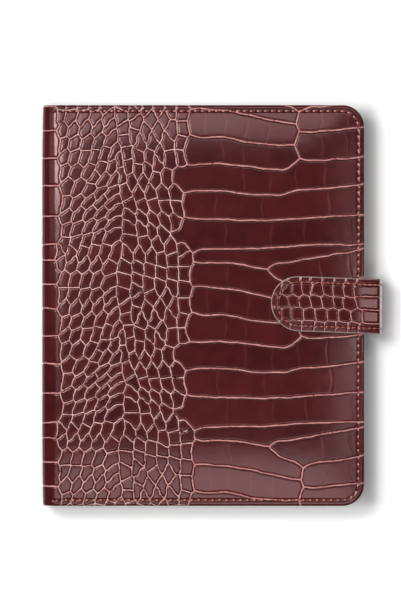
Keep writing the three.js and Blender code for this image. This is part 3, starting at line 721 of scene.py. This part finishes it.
@cache
def leather_material():
    """Embossed leather: dark scales, pale creases, a fine grain and a waxy gloss."""
    n = Look("croc_leather")
    mottled, fine, mottle = n.noise(90, 4), n.noise(900), n.noise(240, 2)
    edge = n.maths("ADD", n.attribute("crease"), n.maths("MULTIPLY_ADD", fine, 0.16, -0.08))
    line, shade = n.ramp(edge, (0.10, 1), (0.40, 0)), n.attribute("shade")
    tint = n.ramp(n.maths("MULTIPLY_ADD", n.attribute("tint"), 0.5, 0.5), (0.0, (61, 15, 17)), (1.0, (85, 25, 26)))
    base = n.mix(0.35, n.between(mottled, (65, 16, 18), (81, 22, 23)), tint)
    # painted shade: a dark band beside the creases, where their walls turn from the light
    base = n.mix(shade, base, (48, 6, 6))
    small = n.between(mottle, (207, 149, 144), (244, 197, 191))
    long = n.between(mottle, (188, 122, 118), (222, 160, 155))
    colour = n.mix(line, base, n.mix(n.attribute("broad"), small, long))
    colour = n.mix(n.times(n.attribute("wrinkle"), 0.12), colour, (163, 92, 94))
    # painted highlight on the strap's upper fore-edge and edges
    colour = n.mix(n.attribute("wear"), colour, (246, 226, 221))
    # painted shade in the needle holes
    colour = n.mix(n.attribute("hole"), colour, (18, 4, 5))
    rough = n.mix(shade, n.between(mottled, 0.11, 0.13), 0.13)
    height = n.maths("ADD", n.times(n.pebble(1500.0), 0.5), fine)
    return n.surface(colour, n.mix(line, rough, 0.45), Specular_IOR_Level=0.268,
                     Specular_Tint=(1.0, 0.65, 0.67, 1.0), Normal=n.bump(height, 0.3, 0.00002))


@cache
def smooth_leather(name, dark, light, scale):
    """Plain leather for linings and pockets, with a fine pebble."""
    n = Look(name)
    cloud = n.noise(scale, 4)
    height = n.maths("ADD", n.pebble(1100.0), n.noise(600))
    return n.surface(n.between(cloud, dark, light), n.between(cloud, 0.48, 0.6), Normal=n.bump(height, 0.35, 0.0003))


@cache
def cloth_material(name, dark, light):
    """A twill lining: diagonal ribs with uneven yarn."""
    n = Look(name)
    ribs, cross = n.wave(480.0, 0.6, "DIAGONAL", 1.0), n.wave(900.0, 0.4, "Y")
    both = n.times(ribs, n.maths("MULTIPLY_ADD", cross, 0.5, 0.5))
    colour = n.mix(n.times(n.noise(60), 0.25), n.ramp(both, (0.1, dark), (0.8, light)), dark)
    return n.surface(colour, 0.82, Sheen_Weight=0.25, Normal=n.bump(both, 0.5, 0.0003))


@cache
def thread_material():
    """Twisted thread, dark red, each stitch painted pale as a highlight at the end that stands proud."""
    n = Look("thread")
    ply = n.wave(700.0, 1.0, "DIAGONAL")
    # painted highlight at each stitch's proud end
    pale_highlight = n.ramp(n.attribute("run"), (0.3, 0.9), (0.45, 0.0))
    colour = n.mix(pale_highlight, n.ramp(ply, (0.1, (144, 48, 37)), (0.8, (207, 97, 73))), (250, 208, 190))
    return n.surface(colour, 0.5, Specular_IOR_Level=0.2, Normal=n.bump(ply, 0.5, 0.0001))


@cache
def metal_material(name, tone, rough):
    """Plated or bare metal with faint wear."""
    n = Look(name)
    smear = n.noise(130, 5)
    return n.surface(n.between(smear, dimmed(tone, 0.93), tone), n.between(smear, rough * 0.8, rough * 1.3),
                     Metallic=1.0, Normal=n.bump(n.noise(1400, 2), 0.04, 0.0001))


@cache
def fibre_material(name, dark, light, scale):
    """Board, foam or card: mottled and matt."""
    n = Look(name)
    grain = n.noise(scale, 5, 0.7)
    return n.surface(n.between(grain, dark, light), 0.9, Normal=n.bump(grain, 0.3, 0.0003))


@cache
def paper_material(name, tone, layout):
    """Leaves: uncoated paper with single leaves' edges on its sides, and ruled as a week, a month or notes."""
    n = Look(name)
    x, y = n.add("SeparateXYZ", {0: n.place()}).outputs[:2]
    layers = n.add("Mapping", {"Vector": n.place(), "Scale": (30.0, 30.0, 9000.0)}).outputs[0]
    waves = n.add("TexNoise", {"Vector": layers, "Scale": 1.0, "Detail": 1.0}).outputs["Fac"]
    facing = n.add("SeparateXYZ", {0: n.add("TexCoord").outputs["Normal"]}).outputs[2]
    side = n.ramp(n.maths("ABSOLUTE", facing), (0.4, 1), (0.6, 0))
    leaves = n.ramp(waves, (0.35, dimmed(tone, 0.80)), (0.6, tone))
    sheet = n.between(n.noise(700, 4), dimmed(tone, 0.975), tone)
    row, column, rule = RULING[layout]
    across = n.within(x, *RULED_X)
    thin = n.times(n.lines_at(y, RULED_Y[0], rule, 0.00018), 0.35)
    bold = n.larger(n.lines_at(y, RULED_Y[0], row, 0.0004), n.lines_at(x, RULED_X[0], column, 0.0004))
    ink = n.times(n.larger(thin, bold), n.times(across, n.within(y, *RULED_Y)))
    head = n.times(n.within(y, *HEAD_LINE), across)
    ink = n.times(n.larger(ink, head), 0.7)
    return n.surface(n.mix(side, n.mix(ink, sheet, (122, 104, 98)), leaves), 0.85, Normal=n.bump(waves, 0.3, 0.0002))


# ---- stitching

def stitch(a, b, up, radius=0.30, lift=0.24, sink=0.3, knot=0.65):
    """One stitch from hole a to hole b, arched over the leather along up."""
    a, b, up = np.array(a), np.array(b), np.array(up)
    t = np.linspace(0, 1, 7)[:, None]
    ends = a + (b - a) * (0.10 + 0.80 * t)
    bow = (1 - (2 * t - 1) ** 4) * (lift + sink) - sink
    r = radius * (1.2 - knot + knot * np.exp(-(((t[:, 0] - 0.2) / 0.2) ** 2)))
    return tube(ends + up * bow, r, 7, flat=up)


def thread_piece(name, stitches, slot, body=None, run=(0, 1)):
    """All the stitches of a seam as one piece, with the place along each stitch as an attribute."""
    ob = new_piece(name, *gather(stitches), thread_material())
    fields(ob, run=np.tile(np.repeat(np.linspace(*run, 7), 7), len(stitches)))
    return placed(ob, slot, body=body)


def cover_stitches(side):
    up = (0, 0, 1.0 if side == "front" else -1.0)
    at = [wrap(x, y, border_crown(SEAM_INSET, x, y) + 0.02, side) for x, y in cover_holes()]
    stitches = [stitch(a, b, up) for a, b in zip(at, at[1:])]
    thread_piece(f"{side}_cover_stitching", stitches, "strap_leather", f"{side}_cover")


# ---- strap

@cache
def strap_route(depth):
    """The strap's course at a depth under its outer face, from root to tip: lengths, and rows of x, z, normal."""
    pts = [(STRAP_ROOT, STRAP_LOW + depth, 0, -1)]
    for bend, z, turn in ((LOWER_BEND, STRAP_LOW + LOWER_BEND, np.linspace(-QUARTER, 0, 24)),
                          (UPPER_BEND, STRAP_TOP - UPPER_BEND, np.linspace(0, QUARTER, 14))):
        pts += [(STRAP_REACH - bend + (bend - depth) * math.cos(a), z + (bend - depth) * math.sin(a),
                 math.cos(a), math.sin(a)) for a in turn]
    pts += [(STRAP_TIP, STRAP_TOP - depth, 0, 1)]
    p = np.array(pts)
    p = np.concatenate([p[:-1], [p[-2] + (p[-1] - p[-2]) * t for t in np.linspace(0.02, 1, 120)]])
    # from the fore-edge the strap sinks to the cover's padded face
    p[:, 1] -= 1.1 * np.clip((p[:, 0] - 84) / (STRAP_REACH - UPPER_BEND - 84), 0, 1) ** 2 * (p[:, 1] > 35)
    at = np.concatenate([[0], np.cumsum(np.hypot(*np.diff(p[:, :2], axis=0).T))])
    s = np.linspace(0, at[-1], int(at[-1] / 0.5) + 1)
    route = np.stack([np.interp(s, at, p[:, k]) for k in range(4)], 1)
    route[:, 2:] = unit(route[:, 2:])
    return s, route


def strap_place(depth, s, w, height):
    """Places at s along the strap's course, w from its middle and a height over it, and their normals' x and z."""
    at, route = strap_route(depth)
    x, z, nx, nz = (np.interp(s, at, route[:, k]) for k in range(4))
    size = np.hypot(nx, nz)
    nx, nz = nx / size, nz / size
    x, z = x + nx * height, z + nz * height
    # on the cover the strap lies a little turned
    on_top, reach = smoothstep(30, 43, z), STRAP_REACH - STRAP_TURN_X
    middle = STRAP_Y + STRAP_TURN * (np.clip(x - STRAP_TURN_X, -20, reach) * on_top + reach * (1 - on_top))
    return (x, middle + w, z), (nx, nz)


def strap_scales(length):
    """The strap's scales: uneven rounded squares in rows across it, as rows of s, w and radius."""
    rng = np.random.default_rng(31)
    scales = []
    for j in range(-3, 4):
        s = length + 2.5 + (j % 2) * 3.0
        while s > -10:
            size = 6.4 if s > length - 47 else 26.0  # small near the tip, long from there to the root
            size *= rng.uniform(0.86, 1.14)
            half = max(size / 2 - 2.6, 0.3)
            w = 1.4 + j * 7.3 + rng.uniform(-0.5, 0.5)
            t = np.linspace(-1, 1, 3 if size < 10 else 9)
            pts = np.column_stack([s - size / 2 + t * half, w + 0.5 * np.sin(t * 2 + j)])
            scales.append(np.column_stack([pts, np.full(len(t), 2.6)]))
            s -= size
    return scales


def strap_holes(length):
    """Needle holes along the strap's two edges and round its tip."""
    w = STRAP_HALF - SEAM_INSET
    tip = arc(length - STRAP_HALF, 0, w, QUARTER, -QUARTER, 20)
    return seam_holes([(STRAP_SEWN_FROM, w), *tip, (STRAP_SEWN_FROM, -w)], STRAP_PITCH)


def strap_layer(name, s_from, s_to, depth, thickness, material, relief):
    """One layer of the strap as a closed shell: a face, rounded edges and a plain under face."""
    s_all = strap_route(depth)[0]
    length, round_from = s_all[-1], s_all[-1] - STRAP_HALF
    edge = min(0.45, thickness * 0.42)
    s = s_all[(s_all >= s_from) & (s_all <= s_to)]
    if s_to >= length - 1e-6:
        # the tip's rows get closer together, so that its round end is smooth
        s = np.concatenate([s[s < round_from], round_from + STRAP_HALF * np.sin(np.linspace(0, QUARTER, 44))])
    half = np.sqrt(np.maximum(STRAP_HALF ** 2 - np.clip(s - round_from, 0, STRAP_HALF) ** 2, 0.0))[:, None]
    # round the strap: the place across its face, the height, the share of relief and the way out from the face
    rim = [(1, -edge * math.sin(a), 0.6, edge * math.cos(a)) for a in (0.5, 1.0)]
    rim += [(1, -thickness / 2, 0, edge), (1, -thickness + edge * 0.4, 0, edge * 0.8)]
    loop = [(w, 0, 1, 0) for w in np.linspace(-1, 1, 61)] + rim + [(w, -thickness, 0, 0) for w in np.linspace(1, -1, 9)]
    loop += [(-w, *rest) for w, *rest in rim[::-1]]
    across, height, share, beyond = np.array(loop).T
    W = np.maximum(half - edge, 0.0) * across + np.sign(across) * beyond
    S, N = np.tile(s[:, None], (1, len(loop))), height
    if relief:
        raster = crease_raster(strap_scales(length), (-8, length + 8, -22, 22))
        moved = snap_to_creases(raster, S, W, np.s_[:, 1:60], 0.5, half > STRAP_HALF * 0.98)
        dist, who = sample(raster, *warped(S, W), "dist", "who")
        dist[moved] = 0
        inset = STRAP_HALF - np.where(S > round_from, np.hypot(S - round_from, W), np.abs(W))
        crown = -0.30 + 0.30 * smoothstep(0.5, 5.0, inset) - 0.22 * np.exp(-((inset - SEAM_INSET) / 0.5) ** 2)
        dips = hole_dips(S, W, inset, strap_holes(length), 1.5, 0.3)
        N = N + (crown + relief_of(dist, 1.1, 0.34) - 0.25 * dips) * share
    (x, y, z), _ = strap_place(depth, S, W, N)
    ob = new_piece(name, np.stack([x, y, z], -1).reshape(-1, 3), capped(*W.shape), material)
    if relief:
        # the upper fore-edge and the edges are painted pale as a highlight
        pale_highlight = smoothstep(STRAP_REACH - 1.7, STRAP_REACH - 0.9, x) * smoothstep(38.8, 40.2, z)
        # painted shade beside the creases of every other scale
        shade = 0.8 * smoothstep(0.15, 0.35, dist) * smoothstep(0.9, 0.5, dist) * (who % 2)
        # painted shade in the needle holes
        fields(ob, crease=dist * 1.2, tint=np.random.default_rng(6).uniform(-1, 1, who.max() + 2)[who], hole=dips,
               broad=np.full(dist.size, 0.8), wear=np.maximum(pale_highlight, 0.4 * smoothstep(0.75, 0.3, inset) * share),
               shade=shade)
    return ob


def strap():
    s_all, route = strap_route(0)
    length = s_all[-1]
    # the two parts meet half way up the wall
    split = float(s_all[np.argmin(np.abs(route[:, 1] - 24) + (route[:, 0] < 95) * 99)])
    lining_leather = smooth_leather("strap_lining", (58, 18, 20), (76, 26, 28), 150.0)
    for layer, node, depth, thickness, look in (
        ("outer", "leather", 0.0, 1.1, leather_material()), ("inner", "lining", 1.2, 0.7, lining_leather),
    ):
        scale = strap_route(depth)[0][-1] / length
        for part, low, high in (("wall", 0, split + 0.4), ("flap", split - 0.4, length)):
            name = f"strap_{part}_{layer}"
            ob = strap_layer(name, low * scale, high * scale, depth, thickness, look, layer == "outer")
            root = ["strap_root"] if name == "strap_wall_outer" else []
            bent(placed(ob, "strap_leather", f"strap_{part}_{node}", *root))
    stitches = {"wall": [], "flap": []}
    holes = strap_holes(length)
    for one, other in zip(holes, holes[1:]):
        (a, up_a), (b, up_b) = (strap_place(0, s, w, -0.42) for s, w in (one, other))
        up = unit(np.array([up_a[0] + up_b[0], 0, up_a[1] + up_b[1]]))
        stitches["wall" if max(one[0], other[0]) < split else "flap"].append(stitch(a, b, up, 0.24, 0.2, knot=0.2))
    for part in ("wall", "flap"):
        ob = thread_piece(f"strap_{part}_stitching", stitches[part], "strap_leather", run=(0.39, 0.43))
        bent(ob)


# ---- inside

def lining(side):
    """The cloth lining across a cover, its hinge and half the spine, a board's depth under the leather."""
    flat_x = np.concatenate([np.linspace(91.9, BEND_START, 90), np.linspace(BEND_START, MID_SPINE, 60)[1:]])
    faces = [wrap(flat_x, 0 * flat_x, depth, side) for depth in LINING_DEPTHS]
    y = corner_height(faces[0][:, :1], CORNER - 0.6) * np.linspace(-1, 1, 121)
    verts = [np.stack(np.broadcast_arrays(f[:, :1], y, f[:, 2:]), -1).reshape(-1, 3) for f in faces]
    quads, index = strip_faces(*y.shape), np.arange(y.size).reshape(y.shape)
    rim = np.concatenate([index[0, :], index[1:, -1], index[-1, -2::-1], index[-2:0:-1, 0]])
    ahead = np.roll(rim, -1)
    quads = np.concatenate([quads, quads[:, ::-1] + y.size, np.stack([ahead, rim, rim + y.size, ahead + y.size], 1)])
    ob = new_piece(f"{side}_lining_cloth", np.concatenate(verts), quads,
                   cloth_material("lining_twill", (44, 14, 16), (82, 30, 33)), smooth=40)
    placed_on_cover(ob, side, "lining", "lining")


def pocket(node, side):
    """A pocket panel, stitched all round."""
    lo, hi = box_mm(node)
    r = CORNER - (FORE_X - hi[0])
    leather = smooth_leather("pocket_leather", (62, 20, 22), (84, 30, 32), 120.0)
    outline = round_outline(lo[0], hi[0], lo[1], hi[1], (2.0, r, r, 2.0))
    ob = new_piece(f"{node}_panel", *slab(outline, lo[2], hi[2], 0.22), leather, smooth=50)
    placed(ob, "pocket_leather", node, body=f"{side}_cover")
    z, up = (lo[2], (0, 0, -1.0)) if side == "front" else (hi[2], (0, 0, 1.0))
    inset = 1.8
    seam = round_outline(lo[0] + inset, hi[0] - inset, lo[1] + inset, hi[1] - inset, (1.0, r - inset, r - inset, 1.0))
    at = [(x, y, z) for x, y in seam_holes([*seam, seam[0]], 3.2)]
    stitches = [stitch(a, b, up, 0.2, 0.10, 0.15) for a, b in zip(at, at[1:])]
    thread_piece(f"{node}_panel_stitching", stitches, "pocket_leather", f"{side}_cover")


def foam(side):
    """The foam pad between leather and board: full in the middle and pressed thin towards its edges."""
    lo, hi = box_mm(f"{side}_foam")
    outline = round_outline(BEND_START + 2, hi[0] - 2.5, lo[1] + 2.5, hi[1] - 2.5, (1, 9, 9, 1), 12)
    base, peak = (lo[2], hi[2]) if side == "front" else (hi[2], lo[2])
    middle = outline.mean(0)
    levels = ((1.0, 0.0), (1.0, 0.08), (0.985, 0.16), (0.93, 0.45), (0.85, 0.75), (0.75, 0.9), (0.5, 0.98))
    rings = [np.insert(middle + (outline - middle) * share, 2, base + (peak - base) * rise, axis=1)
             for share, rise in levels]
    faces = capped(len(rings), len(outline))
    if side == "back":
        faces = [f[::-1] for f in faces]
    ob = new_piece(f"{side}_foam_pad", np.concatenate(rings), faces,
                   fibre_material("foam", (206, 199, 184), (226, 220, 208), 500.0), smooth=50)
    placed(ob, "foam", f"{side}_foam", body=f"{side}_cover")


def boards():
    """The boards inside the covers and the spine, with eased edges that stay under the leather's bend."""
    board = fibre_material("board", (120, 110, 98), (150, 140, 126), 400.0)
    for side in ("front", "back"):
        lo, hi = box_mm(f"{side}_board")
        outline = round_outline(lo[0] + 2.2, hi[0], lo[1], hi[1], (1.0, CORNER - 1.1, CORNER - 1.1, 1.0), 12)
        ob = new_piece(f"{side}_board_panel", *slab(outline, lo[2], hi[2], 0.35), board, smooth=40)
        placed(ob, "board", f"{side}_board", body=f"{side}_cover")
    lo, hi = box_mm("spine_board")
    outline = round_outline(lo[1] + 0.5, hi[1] - 0.5, lo[2] + 2, hi[2] - 2, (1.5, 1.5, 1.5, 1.5))
    verts, faces = slab(outline, lo[0] + 0.2, hi[0])
    ob = new_piece("spine_board_panel", verts[:, [2, 0, 1]], faces, board, smooth=40)
    placed(ob, "board", "spine_board", body="spine")


def rings():
    """The ring halves, from the jaws over the leaves round to the plate."""
    nickel = metal_material("nickel", (206, 206, 208), 0.16)
    for label, direction in (("upper", 1), ("lower", -1)):
        for i, place in enumerate(RING_PLACES):
            ends = direction * 0.05 / RING_RADIUS, direction * math.radians(165)
            pts = np.insert(arc(RING_X, RING_Z, RING_RADIUS, *ends, 48), 1, place, axis=1)
            ob = new_piece(f"ring_{i + 1}_{label}_wire", *tube(pts, WIRE, 20), nickel, smooth=50)
            placed(ob, "nickel", f"ring_{i + 1}_{label}", body=f"rings_{label}")


def repaint():
    """Gives the CAD nodes that stay their materials."""
    nickel = metal_material("nickel", (206, 206, 208), 0.16)
    satin = metal_material("satin_nickel", (128, 128, 131), 0.36)
    steel = metal_material("steel", (150, 152, 156), 0.3)
    looks = {
        "ring_plate": nickel, "rivet_head_end": nickel, "rivet_foot_end": nickel,
        "lever_head_end": satin, "lever_foot_end": satin, "rail_upper": steel, "rail_lower": steel,
        "catch_plate": steel, "strap_magnet": steel,
    }
    for label, dark, light in (
        ("year", (176, 134, 116), (190, 150, 132)), ("months", (199, 168, 140), (212, 182, 156)),
        ("notes", (161, 172, 154), (174, 184, 167)), ("contacts", (139, 152, 166), (153, 166, 179)),
    ):
        looks[f"divider_{label}"] = fibre_material(f"card_{label}", dark, light, 500.0)
    cream, white = (243, 236, 221), (246, 240, 227)
    for name, tone, layout in (
        ("year_pages", cream, "month"), ("month_pages", cream, "month"), ("week_pages_first_half", white, "week"),
        ("week_pages_second_half", white, "week"), ("notes_pages", cream, "notes"), ("contact_pages", cream, "notes"),
    ):
        looks[name] = paper_material(f"paper_{layout}_{tone[2]}", tone, layout)
    for name, material in looks.items():
        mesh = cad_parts[name].data
        for i in range(len(mesh.materials)):
            mesh.materials[i] = material


# ---- stage

def floor_material():
    """A white floor that keeps the shadow; seen by the camera and in reflections it glows to paper white, less and less
    near two rectangles round the planner and its strap, so the shadow's reach is painted there.
    """
    n = Look("floor")
    path = n.add("LightPath")
    seen = n.larger(path.outputs["Is Camera Ray"], path.outputs["Is Glossy Ray"])
    place = n.add("SeparateXYZ", {0: n.place()})

    def away_from(rectangle):
        squares = []
        for k, (half, middle) in enumerate(rectangle):
            off = n.maths("ABSOLUTE", n.maths("SUBTRACT", place.outputs[k], middle))
            off = n.larger(n.maths("SUBTRACT", off, half), 0.0)
            squares.append(n.times(off, off))
        return n.maths("SQRT", n.maths("ADD", *squares))

    # painted shadow: the glow fades out towards the rectangles, where the shadow shows
    away = n.maths("MINIMUM", *map(away_from, SHADOWS))
    lift = n.ramp(n.times(away, 5.0), *LIFT, curve="LINEAR")
    return n.surface(n.between(n.noise(3, 2), 0.93, 0.95), 0.9, Specular_IOR_Level=0.1,
                     Emission_Color=rgba(1), Emission_Strength=n.times(seen, lift))


def stage():
    size = 3000.0
    corners = [(-size, -size, 0), (size, -size, 0), (size, size, 0), (-size, size, 0)]
    ob = new_piece("floor", corners, [(0, 1, 2, 3)], floor_material(), smooth=False)
    ob.location.z = -0.0002
    scene = bpy.context.scene
    scene.view_settings.view_transform = "Standard"
    scene.world = bpy.data.worlds.new("studio")
    scene.world.use_nodes = True
    n = Nodes(scene.world.node_tree)
    path = n.add("LightPath")
    mirrored = n.times(path.outputs["Is Glossy Ray"], ROOM_MIRRORED)
    seen = n.larger(mirrored, path.outputs["Is Camera Ray"])
    n.fill(n.tree.nodes["Background"], {0: rgba(1), 1: n.larger(seen, ROOM_LIGHT)})


def lights():
    for name, x0, x1, y0, y1, radiance in LAMPS:
        data = bpy.data.lights.new(name, "AREA")
        data.shape = "RECTANGLE"
        data.size, data.size_y = x1 - x0, y1 - y0
        data.energy = radiance * math.pi * data.size * data.size_y
        linked(name, data).location = ((x0 + x1) / 2, (y0 + y1) / 2, LAMP_HEIGHT)


def camera():
    data = bpy.data.cameras.new("camera")
    data.sensor_fit = "VERTICAL"
    data.sensor_height = SENSOR
    data.lens = SENSOR * (CAMERA_HEIGHT - THICK * MM) / VIEW_HEIGHT
    data.clip_end = 20
    ob = linked("camera", data)
    ob.location = (*CAMERA_OVER, CAMERA_HEIGHT)
    bpy.context.scene.camera = ob


stage()
lights()
camera()
for side in ("front", "back"):
    cover_skin(side)
    cover_stitches(side)
    lining(side)
    foam(side)
boards()
strap()
for side in ("front", "back"):
    pocket(f"{side}_slip_pocket", side)
for k in (1, 2, 3):
    pocket(f"card_pocket_{k}", "front")
rings()
repaint()

bpy.context.view_layer.update()
